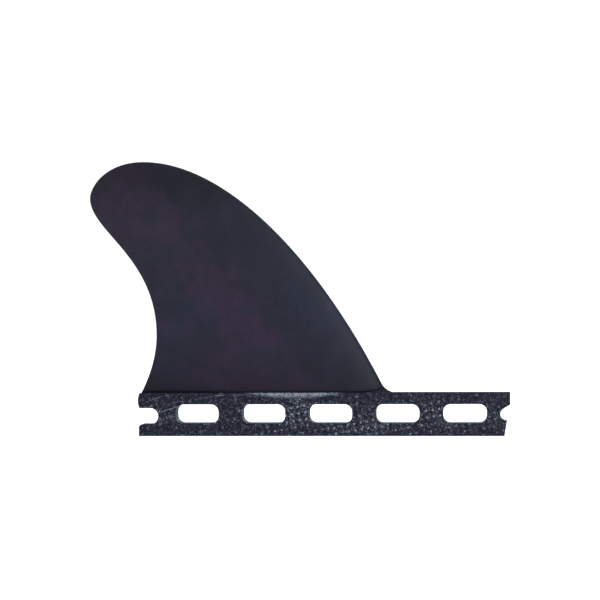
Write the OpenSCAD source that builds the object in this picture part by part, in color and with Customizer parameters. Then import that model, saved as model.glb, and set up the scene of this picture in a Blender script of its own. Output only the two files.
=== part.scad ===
// Surfboard fin moulded in one piece: a raked blade on one long, slotted base tab.
// It stands upright. +X points to the leading edge, +Z to the tip, and the origin lies under
// the middle of the tab. Both faces are alike, as on a fin for the middle of the board.

/* [Tab] */
// Length of the tab
tab_length = 114; // [110:0.5:120]
// Height of the tab, up to the board's skin
tab_height = 13.2; // [12.6:0.1:15]
// Thickness of the tab
tab_thickness = 7; // [6:0.1:8]
// Radius of the upright edges at the tab's two ends
end_edge_radius = 0.8; // [0.3:0.1:1.5]
// Radius of the tab's two long bottom edges
bottom_edge_radius = 0.6; // [0.3:0.1:1.5]

/* [Slots] */
// Number of slots through the tab
slot_count = 5; // [3:1:5]
// Length of a slot
slot_length = 13.3; // [9:0.1:15]
// Height of a slot
slot_height = 5.8; // [4.8:0.1:6.4]
// Radius of a slot's corners
slot_corner_radius = 2.3; // [1:0.1:2.3]
// Distance from the tab's rear end to the middle of the rearmost slot
rear_slot_setback = 18.3; // [17.5:0.1:20]
// Distance from the tab's front end to the middle of the foremost slot
front_slot_setback = 13.7; // [12.5:0.1:16]
// Height of the slots' middle above the tab's bottom
slot_level = 6.8; // [6:0.1:7.2]

/* [Rear hook] */
// Radius of the round seat that hooks over the pin in the board's box
hook_radius = 2.5; // [2:0.05:2.8]
// Depth of the hook's gap, from the tab's rear end to the bottom of the round seat
hook_depth = 6.3; // [4:0.1:8]
// Height of the hook's middle above the tab's bottom
hook_level = 6.1; // [5.4:0.1:6.6]
// Radius of the rounded nose above the gap
nose_radius = 5.8; // [5:0.1:8]
// Depth below the tab's top at which that nose reaches furthest back
nose_drop = 2.4; // [1.6:0.1:2.4]
// Distance that the leg under the gap stays back from the tab's rear end
rear_leg_setback = 0.3; // [0.1:0.1:1]
// Radius of that leg's upper corner
rear_leg_radius = 1; // [0.5:0.1:1.5]

/* [Front screw seat] */
// Slope of the ramp that leads down to the hollow, from the horizontal
ramp_slope = 32; // [20:1:40]
// Radius of the hollow that takes the set screw's end
screw_seat_radius = 2; // [1.6:0.1:2.2]
// Height of that hollow's middle above the tab's bottom
screw_seat_level = 6.6; // [6.2:0.1:7]
// Distance from the tab's front end back to the hollow's middle
screw_seat_setback = 1; // [0.6:0.1:1.4]
// Distance from the tab's front end back to the lip under the hollow
front_lip_setback = 1; // [0.7:0.1:1.4]
// Distance from the tab's front end back to the bottom corner
front_foot_setback = 1.8; // [1.4:0.1:3]

/* [Blade outline] */
// Distance from the tab's rear end to the trailing edge's root
trailing_root_setback = 0.6; // [0.6:0.1:3]
// Chord of the blade at the tab, from the trailing edge to the leading edge
root_chord = 75.7; // [68:0.1:86]
// Height of the blade above the tab
blade_height = 71.3; // [60:0.1:85]
// Angle of the leading edge at its root, from straight ahead
leading_angle = 116.6; // [110:0.1:122]
// Reach of the leading edge's curve above its root
leading_reach = 51.3; // [44:0.1:56]
// Reach of the leading edge's curve before the top of the tip
tip_front_reach = 23.3; // [18:0.1:28]
// Distance from the trailing root forward to the highest point of the tip
tip_top_offset = 0.7; // [-3:0.1:5]
// Reach of the tip's curve behind its highest point
tip_rear_reach = 11.7; // [6:0.1:13]
// Distance from the trailing root back to the tip's rearmost point
tip_overhang = 15.8; // [13.5:0.1:20]
// Height of the tip's rearmost point below the highest point
tip_drop = 11.1; // [8:0.1:16]
// Reach of the tip's curve above its rearmost point
tip_upper_reach = 3.5; // [1.5:0.1:7]
// Reach of the trailing edge's curve below the rearmost point
tip_lower_reach = 10.3; // [6:0.1:16]
// Distance from the trailing root forward to the deepest point of the trailing edge's hollow
hollow_depth = 4.8; // [3.5:0.1:7]
// Height of that deepest point above the tab
hollow_height = 17.8; // [14:0.1:22]
// Reach of the trailing edge's curve above the deepest point
hollow_upper_reach = 24.1; // [14:0.1:28]
// Reach of the trailing edge's curve below the deepest point
hollow_lower_reach = 8; // [4:0.1:9]
// Angle of the trailing edge at its root, from straight ahead
trailing_angle = 62; // [55:1:75]
// Reach of the trailing edge's curve above its root
trailing_reach = 3; // [1:0.1:5]
// Radius of the fillet between the leading edge and the tab's top
leading_fillet_radius = 5; // [2:0.1:6]

/* [Blade foil] */
// Greatest thickness of the blade at the tab
root_thickness = 7.9; // [6:0.1:9]
// Greatest thickness that the taper would reach at the tip
tip_thickness = 2.2; // [1.6:0.1:4]
// Place of the greatest thickness, as a part of the chord behind the leading edge
thickest_at = 0.37; // [0.3:0.01:0.45]
// Thickness of the trailing edge
trailing_thickness = 0.8; // [0.5:0.1:1.5]
// Depth below the tab's top at which the blade's belly has run out into the tab's faces
belly_run_out = 1.7; // [1:0.1:2]

/* [Hidden] */
$fn = 96;
rear_end = -tab_length / 2;
front_end = tab_length / 2;
rear_slot_x = rear_end + rear_slot_setback;
slot_pitch = (front_end - front_slot_setback - rear_slot_x) / (slot_count - 1);
nose_level = tab_height - nose_drop;
// Hollow for the set screw's end, in the side view, with the lip and the leg's foot under it
screw_seat = [front_end - screw_seat_setback, screw_seat_level];
front_lip = [
    front_end - front_lip_setback,
    screw_seat_level - sqrt(pow(screw_seat_radius, 2) - pow(front_lip_setback - screw_seat_setback, 2))
];
front_foot = [front_end - front_foot_setback, 0];
// Slack by which a cutter passes the face that it opens
over = 1;

// Places of the blade's outline, in x along the tab and v above its top
trailing_root_x = rear_end + trailing_root_setback;
leading_root = [trailing_root_x + root_chord, 0];
tip_top = [trailing_root_x + tip_top_offset, blade_height];
tip_rear = [trailing_root_x - tip_overhang, blade_height - tip_drop];
hollow = [trailing_root_x + hollow_depth, hollow_height];
trailing_root = [trailing_root_x, 0];
leading_direction = [cos(leading_angle), sin(leading_angle)];
trailing_direction = [cos(trailing_angle), sin(trailing_angle)];

// The outline's four curves, each a start, two handles and an end
leading_curve = [
    leading_root,
    leading_root + leading_reach * leading_direction,
    tip_top + [tip_front_reach, 0],
    tip_top
];
tip_curve = [tip_rear, tip_rear + [0, tip_upper_reach], tip_top - [tip_rear_reach, 0], tip_top];
rake_curve = [hollow, hollow + [0, hollow_upper_reach], tip_rear - [0, tip_lower_reach], tip_rear];
heel_curve = [
    trailing_root,
    trailing_root + trailing_reach * trailing_direction,
    hollow - [0, hollow_lower_reach],
    hollow
];

// The fillet touches the tab's top and the leading edge's root line
fillet_setback = leading_fillet_radius / tan(leading_angle / 2);
fillet_top = fillet_setback * sin(leading_angle);

// Half the points round a blade section, and the numbers of sections in the fillet, up to the
// tip's rearmost point, and above it
chord_steps = 28;
fillet_steps = 7;
blade_steps = 28;
tip_steps = 14;
// Power of the thickness curve behind its highest point, which puts that point at thickest_at
tail_power = 0.5 * (1 - thickest_at) / thickest_at;
// Depth of the belly's lowest section, which lies inside the tab
belly_depth = 1.5 * belly_run_out;
// Part of the thickness that the belly loses over its run-out, down to the tab's own
belly_loss = max(0, 1 - tab_thickness / root_thickness);

// Point of a curve at t
function curve_point(c, t) =
    pow(1 - t, 3) * c[0] + 3 * t * pow(1 - t, 2) * c[1] + 3 * t * t * (1 - t) * c[2] + pow(t, 3) * c[3];

// Place of a rising curve at height v, by halving the span that holds it
function curve_x(c, v, low = 0, high = 1, turns = 26) =
    let (middle = (low + high) / 2, p = curve_point(c, middle))
    turns == 0 ? p[0]
    : p[1] < v ? curve_x(c, v, middle, high, turns - 1)
    : curve_x(c, v, low, middle, turns - 1);

// Front of the fillet at height v above the tab's top
function fillet_x(v) =
    leading_root[0] + fillet_setback
    - sqrt(pow(leading_fillet_radius, 2) - pow(leading_fillet_radius - v, 2));

// Leading edge at height v, which runs straight down inside the tab
function leading_x(v) =
    v < 0 ? leading_root[0] + fillet_setback + v
    : v < fillet_top ? max(fillet_x(v), curve_x(leading_curve, v))
    : curve_x(leading_curve, v);

// Trailing edge at height v, which draws in below the tab's top
function trailing_x(v) =
    v < 0 ? trailing_root[0] - v / 2
    : v < hollow[1] ? curve_x(heel_curve, v)
    : v < tip_rear[1] ? curve_x(rake_curve, v)
    : curve_x(tip_curve, v);

// Shape of the foil, 0 at both edges and 1 at its thickest, for a part c of the chord
function foil(c) = sqrt(c / thickest_at) * pow((1 - c) / (1 - thickest_at), tail_power);

// Share of the full thickness that is left at height v: it closes towards the top of the tip
function closing(v) = v < 0 ? 1 : sqrt(max(0, 1 - pow(v / blade_height, 16)));

// Share of the thickness that is left at height v in the belly below the tab's top
function belly_scale(v) = v > 0 ? 1 : 1 + belly_loss * v / belly_run_out;

// Half the blade's thickness at height v, for a part c of the chord
function half_thickness(v, c) =
    let (share = max(0, v) / blade_height)
    let (full = root_thickness * (1 - share) + tip_thickness * share)
    closing(v) * belly_scale(v) * (full * foil(c) + trailing_thickness * c * c) / 2;

// Points round the blade at height v, from the trailing edge over the leading edge and back
function section(v) =
    let (front = leading_x(v), chord = front - trailing_x(v))
    [for (j = [-chord_steps:chord_steps])
        let (c = (1 - cos(180 * j / chord_steps)) / 2)
        [front - c * chord, (j < 0 ? 1 : -1) * half_thickness(v, c), tab_height + v]];

// Heights of the sections, closer together in the fillet and towards the top of the tip
section_heights = concat(
    [-belly_depth],
    [for (k = [0:fillet_steps - 1]) fillet_top * pow(k / fillet_steps, 2)],
    [for (k = [0:blade_steps - 1])
        fillet_top + (tip_rear[1] - fillet_top) * k / blade_steps],
    [for (k = [0:tip_steps - 1]) tip_rear[1] + tip_drop * sin(90 * k / tip_steps)]
);

module blade() {
    ring = 2 * chord_steps + 1;
    rings = len(section_heights);
    tip = ring * rings;
    points = concat(
        [for (v = section_heights) each section(v)],
        [[tip_top[0], 0, tab_height + tip_top[1]]]
    );
    walls = [for (k = [0:rings - 2], j = [0:ring - 1])
        let (a = k * ring + j, b = k * ring + (j + 1) % ring)
        each [[a, b, b + ring], [a, b + ring, a + ring]]];
    cap = [for (j = [0:ring - 1]) [tip - ring + j, tip - ring + (j + 1) % ring, tip]];
    floor_face = [[for (j = [ring - 1:-1:0]) j]];
    polyhedron(points, concat(walls, cap, floor_face));
}

module slot_outline() {
    inner_x = slot_length / 2 - slot_corner_radius;
    inner_y = slot_height / 2 - slot_corner_radius;
    square([2 * inner_x, slot_height], center = true);
    square([slot_length, 2 * inner_y], center = true);
    for (x = [-inner_x, inner_x], y = [-inner_y, inner_y])
        translate([x, y])
            circle(slot_corner_radius);
}

module rear_hook_cut() {
    seat_x = rear_end + hook_depth - hook_radius;
    gap_bottom = hook_level - hook_radius;
    leg_x = rear_end + rear_leg_setback;
    // Round nose above the gap
    difference() {
        translate([rear_end - over, hook_level])
            square([nose_radius + over, tab_height - hook_level + over]);
        translate([rear_end + nose_radius, nose_level])
            circle(nose_radius);
    }
    // Gap with its round seat
    translate([rear_end - over, gap_bottom])
        square([seat_x - rear_end + over, 2 * hook_radius]);
    translate([seat_x, hook_level])
        circle(hook_radius);
    // End and upper corner of the leg under the gap
    translate([rear_end - over, -over])
        square([rear_leg_setback + over, hook_level + over]);
    difference() {
        translate([leg_x - over, gap_bottom - rear_leg_radius])
            square([rear_leg_radius + over, rear_leg_radius + over]);
        translate([leg_x + rear_leg_radius, gap_bottom - rear_leg_radius])
            circle(rear_leg_radius);
    }
}

module front_seat_cut() {
    // The ramp runs out tangent to the hollow
    ramp_foot = screw_seat + screw_seat_radius * [-sin(ramp_slope), cos(ramp_slope)];
    ramp_reach = front_end + over - ramp_foot[0];
    ramp_top = ramp_foot + ramp_reach * [1, tan(ramp_slope)];
    below_foot = front_foot + (front_foot - front_lip) * over / front_lip[1];
    polygon([ramp_top, ramp_foot, screw_seat, front_lip, below_foot, [ramp_top[0], below_foot[1]]]);
    translate(screw_seat)
        circle(screw_seat_radius);
}

// Side view of the tab, drawn past its bottom, where the end view's edge lies
module tab_side_view() {
    difference() {
        translate([rear_end, -over])
            square([tab_length, tab_height + over]);
        rear_hook_cut();
        front_seat_cut();
        for (i = [0:slot_count - 1])
            translate([rear_slot_x + i * slot_pitch, slot_level])
                slot_outline();
    }
}

// End view of the tab, drawn past its top, with rounded bottom edges
module tab_end_view() {
    half = tab_thickness / 2 - bottom_edge_radius;
    translate([-tab_thickness / 2, bottom_edge_radius])
        square([tab_thickness, tab_height]);
    translate([-half, 0])
        square([2 * half, tab_height]);
    for (y = [-half, half])
        translate([y, bottom_edge_radius])
            circle(bottom_edge_radius);
}

// What an upright edge at the rear loses to its rounding, at the corner with the lowest x and y
module end_edge_cut(length) {
    linear_extrude(length)
        difference() {
            square(2 * end_edge_radius, center = true);
            translate([end_edge_radius, end_edge_radius])
                circle(end_edge_radius);
        }
}

// The same along the slanted end of the leg under the screw seat
module front_leg_edge_cut() {
    rise = front_lip - front_foot;
    translate([front_foot[0], -tab_thickness / 2, 0])
        rotate([0, atan(rise[0] / rise[1]), 0])
            mirror([1, 0, 0])
                translate([0, 0, -over])
                    end_edge_cut(norm(rise) + over);
}

module tab() {
    difference() {
        intersection() {
            rotate([90, 0, 0])
                linear_extrude(tab_thickness + 2 * over, center = true)
                    tab_side_view();
            rotate([90, 0, 90])
                linear_extrude(tab_length + 2 * over, center = true)
                    tab_end_view();
        }
        for (face = [0, 1])
            mirror([0, face, 0]) {
                for (end = [0, 1])
                    mirror([end, 0, 0])
                        translate([rear_end, -tab_thickness / 2, -over])
                            end_edge_cut(tab_height + 2 * over);
                front_leg_edge_cut();
            }
    }
}

module fin() {
    color([0.17, 0.17, 0.2])
        union() {
            tab();
            blade();
        }
}

fin();
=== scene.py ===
"""Looks of a surfboard fin moulded in one piece: a raked satin blade on a grained, slotted base tab."""
import logging
import math
from dataclasses import dataclass, field
from enum import Enum
from typing import Callable, Iterable, NamedTuple, TypeAlias

import bmesh
import bpy
from mathutils import Matrix, Vector


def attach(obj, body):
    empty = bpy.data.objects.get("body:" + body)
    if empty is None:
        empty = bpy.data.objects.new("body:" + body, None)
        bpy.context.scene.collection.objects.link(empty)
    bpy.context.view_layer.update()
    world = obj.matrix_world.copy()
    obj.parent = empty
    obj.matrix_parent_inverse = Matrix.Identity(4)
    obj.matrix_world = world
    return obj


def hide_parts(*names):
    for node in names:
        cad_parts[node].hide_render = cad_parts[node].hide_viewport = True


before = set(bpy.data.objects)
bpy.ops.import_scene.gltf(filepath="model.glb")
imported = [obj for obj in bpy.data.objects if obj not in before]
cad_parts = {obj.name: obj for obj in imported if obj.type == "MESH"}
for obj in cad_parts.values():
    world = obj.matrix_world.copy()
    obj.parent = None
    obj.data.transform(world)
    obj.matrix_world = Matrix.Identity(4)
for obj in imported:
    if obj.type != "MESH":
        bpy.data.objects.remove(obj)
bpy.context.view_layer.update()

BODY = "root"
CAD_NODE = "fin"
RING_PLACE = "ring_place"
WHITE = (1, 1, 1, 1)
MM = 0.001

# Places nearer together than this count as one, in metres
SNAP = 0.001 * MM
# Share of its length along an axis from which an edge or a normal counts as lying along it
STRAIGHT = 0.999
# Angle between two faces from which their edge counts as a corner
CORNER_ANGLE = math.radians(40)
# Times that a stretch is halved to find a place on a curve
HALVINGS = 40

Piece: TypeAlias = bpy.types.Object
Edge: TypeAlias = bmesh.types.BMEdge
MeshPart: TypeAlias = "bmesh.types.BMVert | Edge | bmesh.types.BMFace"
EdgeTest: TypeAlias = Callable[[Edge], bool]
Triple: TypeAlias = tuple[float, float, float]
Colour: TypeAlias = tuple[float, float, float, float]
Value: TypeAlias = "Signal | float"

log = logging.getLogger("fin")


class Side(Enum):
    """A face of the fin, named by the way along Y that it looks."""

    FRONT = -1
    BACK = 1


class Join(Enum):
    """What one object does to another one."""

    CUT = "DIFFERENCE"
    MERGE = "UNION"


# Shared modelling steps


def deselect_all() -> None:
    """Leaves no object selected."""
    bpy.ops.object.select_all(action="DESELECT")


def make_active(piece: Piece) -> None:
    """Selects one object alone and makes it the active one."""
    deselect_all()
    piece.select_set(True)
    bpy.context.view_layer.objects.active = piece


def added(name: str) -> Piece:
    """Names the primitive that was just added, moves its place and turn into its mesh and returns it."""
    piece = bpy.context.active_object
    piece.name = name
    piece.data.name = name
    make_active(piece)
    bpy.ops.object.transform_apply(location=True, rotation=True, scale=True)
    return piece


def block(name: str, low: Vector, high: Vector) -> Piece:
    """Adds a box primitive between its lowest and its highest corner, in millimetres."""
    deselect_all()
    bpy.ops.mesh.primitive_cube_add(size=1, location=(low + high) / 2 * MM, scale=(high - low) * MM)
    return added(name)


def rod(name: str, radius: float, x: float, z: float, length: float, sides: int) -> Piece:
    """Adds a round rod that lies along Y.

    Args:
        name: Name of the new object.
        radius: Its radius, in millimetres.
        x: Place of its axis along the tab, in millimetres.
        z: Height of its axis, in millimetres.
        length: Its length across the tab, in millimetres.
        sides: Number of flats round it.

    Returns:
        The rod.
    """
    deselect_all()
    bpy.ops.mesh.primitive_cylinder_add(
        vertices=sides,
        radius=radius * MM,
        depth=length * MM,
        location=(x * MM, 0, z * MM),
        rotation=(math.pi / 2, 0, 0),
    )
    return added(name)


def open_mesh(piece: Piece, kind: str) -> bmesh.types.BMesh:
    """Enters edit mode with nothing selected.

    Args:
        piece: The object to edit.
        kind: What is selected in it next: VERT, EDGE or FACE.

    Returns:
        Its mesh, in metres.
    """
    make_active(piece)
    bpy.ops.object.mode_set(mode="EDIT")
    bpy.ops.mesh.select_mode(type=kind)
    bpy.ops.mesh.select_all(action="DESELECT")
    return bmesh.from_edit_mesh(piece.data)


def select_parts(piece: Piece, mesh: bmesh.types.BMesh, parts: Iterable[MeshPart]) -> None:
    """Selects some parts of the mesh that is open in edit mode."""
    for part in parts:
        part.select_set(True)
    mesh.select_flush_mode()
    bmesh.update_edit_mesh(piece.data)


def select_edges(piece: Piece, wanted: EdgeTest) -> None:
    """Enters edit mode with only the wanted edges of an object selected."""
    mesh = open_mesh(piece, "EDGE")
    select_parts(piece, mesh, filter(wanted, mesh.edges))


def close_mesh() -> None:
    """Leaves edit mode."""
    bpy.ops.object.mode_set(mode="OBJECT")


def round_edges(piece: Piece, wanted: EdgeTest, radius: float, segments: int) -> None:
    """Rounds the wanted edges of an object by a radius in millimetres, in some number of steps."""
    select_edges(piece, wanted)
    offset = radius * MM
    bpy.ops.mesh.bevel(offset=offset, segments=segments, profile=0.5, affect="EDGES", clamp_overlap=True)
    close_mesh()


def weigh_edges(piece: Piece, wanted: EdgeTest, weight: float) -> None:
    """Gives some edges their share, 0 to 1, of the width of a rounding that comes later."""
    select_edges(piece, wanted)
    bpy.ops.transform.edge_bevelweight(value=weight)
    close_mesh()


def combine(piece: Piece, other: Piece, how: Join) -> None:
    """Cuts an object with another one, or merges the other one into it, and removes the other one."""
    make_active(piece)
    step = piece.modifiers.new("combine", "BOOLEAN")
    step.operation = how.value
    step.solver = "EXACT"
    step.object = other
    bpy.ops.object.modifier_apply(modifier=step.name)
    bpy.data.objects.remove(other)


def draw_up_top(piece: Piece, rise: float) -> None:
    """Extrudes a cutter's top face upwards, by a rise in millimetres."""
    mesh = open_mesh(piece, "FACE")
    select_parts(piece, mesh, [max(mesh.faces, key=lambda face: face.calc_center_median().z)])
    bpy.ops.mesh.extrude_region_move(TRANSFORM_OT_translate={"value": (0, 0, rise * MM)})
    close_mesh()


def place_edge(piece: Piece, at: Vector, to: Vector) -> None:
    """Moves the edge that runs across a cutter from one place in the side view to another."""
    mesh = open_mesh(piece, "VERT")
    seen = Vector((at.x, at.z)) * MM
    select_parts(piece, mesh, (v for v in mesh.verts if (v.co.xz - seen).length < SNAP))
    bpy.ops.transform.translate(value=((to.x - at.x) * MM, 0, (to.z - at.z) * MM))
    close_mesh()


def edge_middle(edge: Edge) -> Vector:
    """Middle point of an edge, in metres."""
    return (edge.verts[0].co + edge.verts[1].co) / 2


def lies_along_y(edge: Edge) -> bool:
    """Says whether an edge runs straight across the tab."""
    run = edge.verts[1].co - edge.verts[0].co
    return abs(run.y) > STRAIGHT * run.length


def is_face_rim(edge: Edge) -> bool:
    """Says whether an edge bounds one of the tab's two flat faces."""
    if len(edge.link_faces) != 2 or edge.calc_face_angle(0) < CORNER_ANGLE:
        return False
    return any(abs(face.normal.y) > STRAIGHT for face in edge.link_faces)


def is_outer_corner(edge: Edge) -> bool:
    """Says whether an edge runs across the tab at an outer corner of its side view."""
    return lies_along_y(edge) and edge.is_convex and edge.calc_face_angle(0) > CORNER_ANGLE


# The base tab


@dataclass
class Tab:
    """The long slotted base that slides into the board's box. Sizes are in millimetres."""

    length: float = 114.0
    height: float = 13.2
    thickness: float = 7.0
    end_edge_radius: float = 0.8
    end_edge_reach: float = 1.5
    bottom_edge_radius: float = 0.6
    rim_radius: float = 0.25
    corner_radius: float = 0.2
    slot_count: int = 5
    slot_length: float = 13.3
    slot_height: float = 5.8
    slot_corner_radius: float = 2.3
    rear_slot_setback: float = 18.3
    front_slot_setback: float = 13.7
    slot_level: float = 6.8
    hook_radius: float = 2.5
    hook_depth: float = 6.3
    hook_level: float = 6.1
    nose_radius: float = 5.8
    nose_drop: float = 2.4
    rear_leg_setback: float = 0.3
    rear_leg_radius: float = 1.0
    ramp_slope: float = 32.0
    screw_seat_radius: float = 2.0
    screw_seat_level: float = 6.6
    screw_seat_setback: float = 1.0
    front_foot_setback: float = 1.8
    over: float = 1.0
    arc_sides: int = 96
    quarter_steps: int = 12
    edge_steps: int = 4

    @property
    def rear_end(self) -> float:
        """Place of the rear end along X."""
        return -self.length / 2

    @property
    def front_end(self) -> float:
        """Place of the front end along X."""
        return self.length / 2

    @property
    def half(self) -> float:
        """Half the thickness."""
        return self.thickness / 2

    @property
    def reach(self) -> float:
        """Half the length across the tab of a cutter that passes both faces."""
        return self.half + self.over

    def slot_centres(self) -> list[float]:
        """Places of the slots' middles along X."""
        first = self.rear_end + self.rear_slot_setback
        last = self.front_end - self.front_slot_setback
        pitch = (last - first) / (self.slot_count - 1)
        return [first + i * pitch for i in range(self.slot_count)]

    def cutter(self, name: str, rear: float, bottom: float, front: float, top: float) -> Piece:
        """Adds a box that passes both faces, by its four sides in the side view."""
        return block(name, Vector((rear, -self.reach, bottom)), Vector((front, self.reach, top)))

    def cut_slots(self, tab: Piece) -> None:
        """Opens the row of slots with rounded plugs."""
        half_size = Vector((self.slot_length / 2, self.reach, self.slot_height / 2))
        for x in self.slot_centres():
            centre = Vector((x, 0, self.slot_level))
            plug = block("slot_plug", centre - half_size, centre + half_size)
            round_edges(plug, lies_along_y, self.slot_corner_radius, self.quarter_steps)
            combine(tab, plug, Join.CUT)

    def cut_nose(self, tab: Piece) -> None:
        """Rounds the rear end above the hook's gap."""
        rear = self.rear_end
        middle_x = rear + self.nose_radius
        middle_z = self.height - self.nose_drop
        top = self.height + self.over
        length = 2 * self.reach + self.over
        waste = self.cutter("nose_waste", rear - self.over, self.hook_level, middle_x, top)
        core = rod("nose_core", self.nose_radius, middle_x, middle_z, length, 2 * self.arc_sides)
        combine(waste, core, Join.CUT)
        combine(tab, waste, Join.CUT)

    def cut_hook(self, tab: Piece) -> None:
        """Opens the rear gap with its round seat and steps its lower leg back."""
        rear = self.rear_end - self.over
        radius = self.hook_radius
        level = self.hook_level
        seat_x = self.rear_end + self.hook_depth - radius
        leg_x = self.rear_end + self.rear_leg_setback
        combine(tab, self.cutter("leg_waste", rear, -self.over, leg_x, level), Join.CUT)
        gap = self.cutter("hook_gap", rear, level - radius, seat_x, level + radius)
        seat = rod("hook_seat", radius, seat_x, level, 2 * self.reach, self.arc_sides)
        combine(gap, seat, Join.MERGE)
        combine(tab, gap, Join.CUT)
        corner = Vector((leg_x, 0, level - radius)) * MM
        round_edges(
            tab,
            lambda edge: lies_along_y(edge) and (edge_middle(edge) - corner).length < SNAP,
            self.rear_leg_radius,
            self.quarter_steps,
        )

    def cut_front(self, tab: Piece) -> None:
        """Cuts the ramp, the round screw seat and the stepped-back foot of the front end."""
        seat = Vector((self.front_end - self.screw_seat_setback, 0, self.screw_seat_level))
        slope = math.radians(self.ramp_slope)
        foot_x = self.front_end - self.front_foot_setback
        lip_z = seat.z - self.screw_seat_radius
        lean = (seat.x - foot_x) / lip_z
        ramp_foot = seat + self.screw_seat_radius * Vector((-math.sin(slope), 0, math.cos(slope)))
        ramp_end = self.front_end + self.over
        ramp_top = ramp_foot.z + (ramp_end - ramp_foot.x) * math.tan(slope)
        wedge = self.cutter("front_waste", seat.x, -self.over, ramp_end, lip_z)
        below_foot = Vector((foot_x - lean * self.over, 0, -self.over))
        place_edge(wedge, Vector((seat.x, 0, -self.over)), below_foot)
        draw_up_top(wedge, seat.z - lip_z)
        draw_up_top(wedge, ramp_foot.z - seat.z)
        place_edge(wedge, Vector((seat.x, 0, ramp_foot.z)), ramp_foot)
        place_edge(wedge, Vector((ramp_end, 0, ramp_foot.z)), Vector((ramp_end, 0, ramp_top)))
        hollow = rod("screw_seat", self.screw_seat_radius, seat.x, seat.z, 2 * self.reach, self.arc_sides)
        combine(wedge, hollow, Join.MERGE)
        combine(tab, wedge, Join.CUT)

    def build(self) -> Piece:
        """Makes the cut and rounded tab, as one closed mesh."""
        low = Vector((self.rear_end, -self.half, 0))
        tab = block("tab", low, Vector((self.front_end, self.half, self.height)))
        self.cut_nose(tab)
        self.cut_hook(tab)
        self.cut_front(tab)
        self.cut_slots(tab)
        self.soften(tab)
        return tab

    def edge_radius(self, edge: Edge) -> float:
        """Radius by which an edge of the cut tab is rounded, or 0."""
        if is_outer_corner(edge):
            return self.corner_radius
        if not is_face_rim(edge):
            return 0.0
        middle = edge_middle(edge)
        if middle.z < SNAP:
            return self.bottom_edge_radius
        inner = abs(middle.x) < (self.front_end - self.end_edge_reach) * MM
        return self.rim_radius if inner else self.end_edge_radius

    def soften(self, tab: Piece) -> None:
        """Rounds every outer edge, slot rim and corner by its own radius, all in one step."""
        radii = {self.corner_radius, self.rim_radius, self.bottom_edge_radius, self.end_edge_radius}
        for radius in sorted(radii):
            weigh_edges(tab, lambda edge: self.edge_radius(edge) == radius, radius / max(radii))
        make_active(tab)
        step = tab.modifiers.new("edge_rounding", "BEVEL")
        step.width = max(radii) * MM
        step.segments = self.edge_steps
        step.limit_method = "WEIGHT"
        bpy.ops.object.modifier_apply(modifier=step.name)


# The blade


@dataclass(frozen=True)
class Crease:
    """The sunk line between the satin blade and the grained tab, in millimetres.

    It runs along the tab's top and climbs over the fillet at the leading edge's root.
    """

    climb_start: float = 11.0
    climb_end: float = 18.8
    climb: float = 1.1
    width: float = 0.42
    depth: float = 0.24

    def level(self, x: float) -> float:
        """Height of the crease above the tab's top."""
        run = (x - self.climb_start) / (self.climb_end - self.climb_start)
        return self.climb * max(0.0, run) ** 2

    def sink(self, x: float, v: float) -> float:
        """Depth of the sunk line at a place on the blade."""
        across = (v - self.level(x)) / self.width
        if not 0 < across < 1:
            return 0.0
        return self.depth * math.sin(math.pi * across)


@dataclass
class Curve:
    """One span of the blade's outline, as (x, height) pairs: its ends, and the way to each one's handle."""

    start: Vector
    from_start: Vector
    from_end: Vector
    end: Vector

    def point(self, t: float) -> Vector:
        """Point of the span at t."""
        s = 1 - t
        return (
            s**3 * self.start
            + 3 * t * s * s * (self.start + self.from_start)
            + 3 * t * t * s * (self.end + self.from_end)
            + t**3 * self.end
        )

    def x_at(self, height: float) -> float:
        """Place of the rising span at a height, by halving the stretch that holds it."""
        low, high = 0.0, 1.0
        for _ in range(HALVINGS):
            middle = (low + high) / 2
            if self.point(middle).y < height:
                low = middle
            else:
                high = middle
        return self.point((low + high) / 2).x


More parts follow.
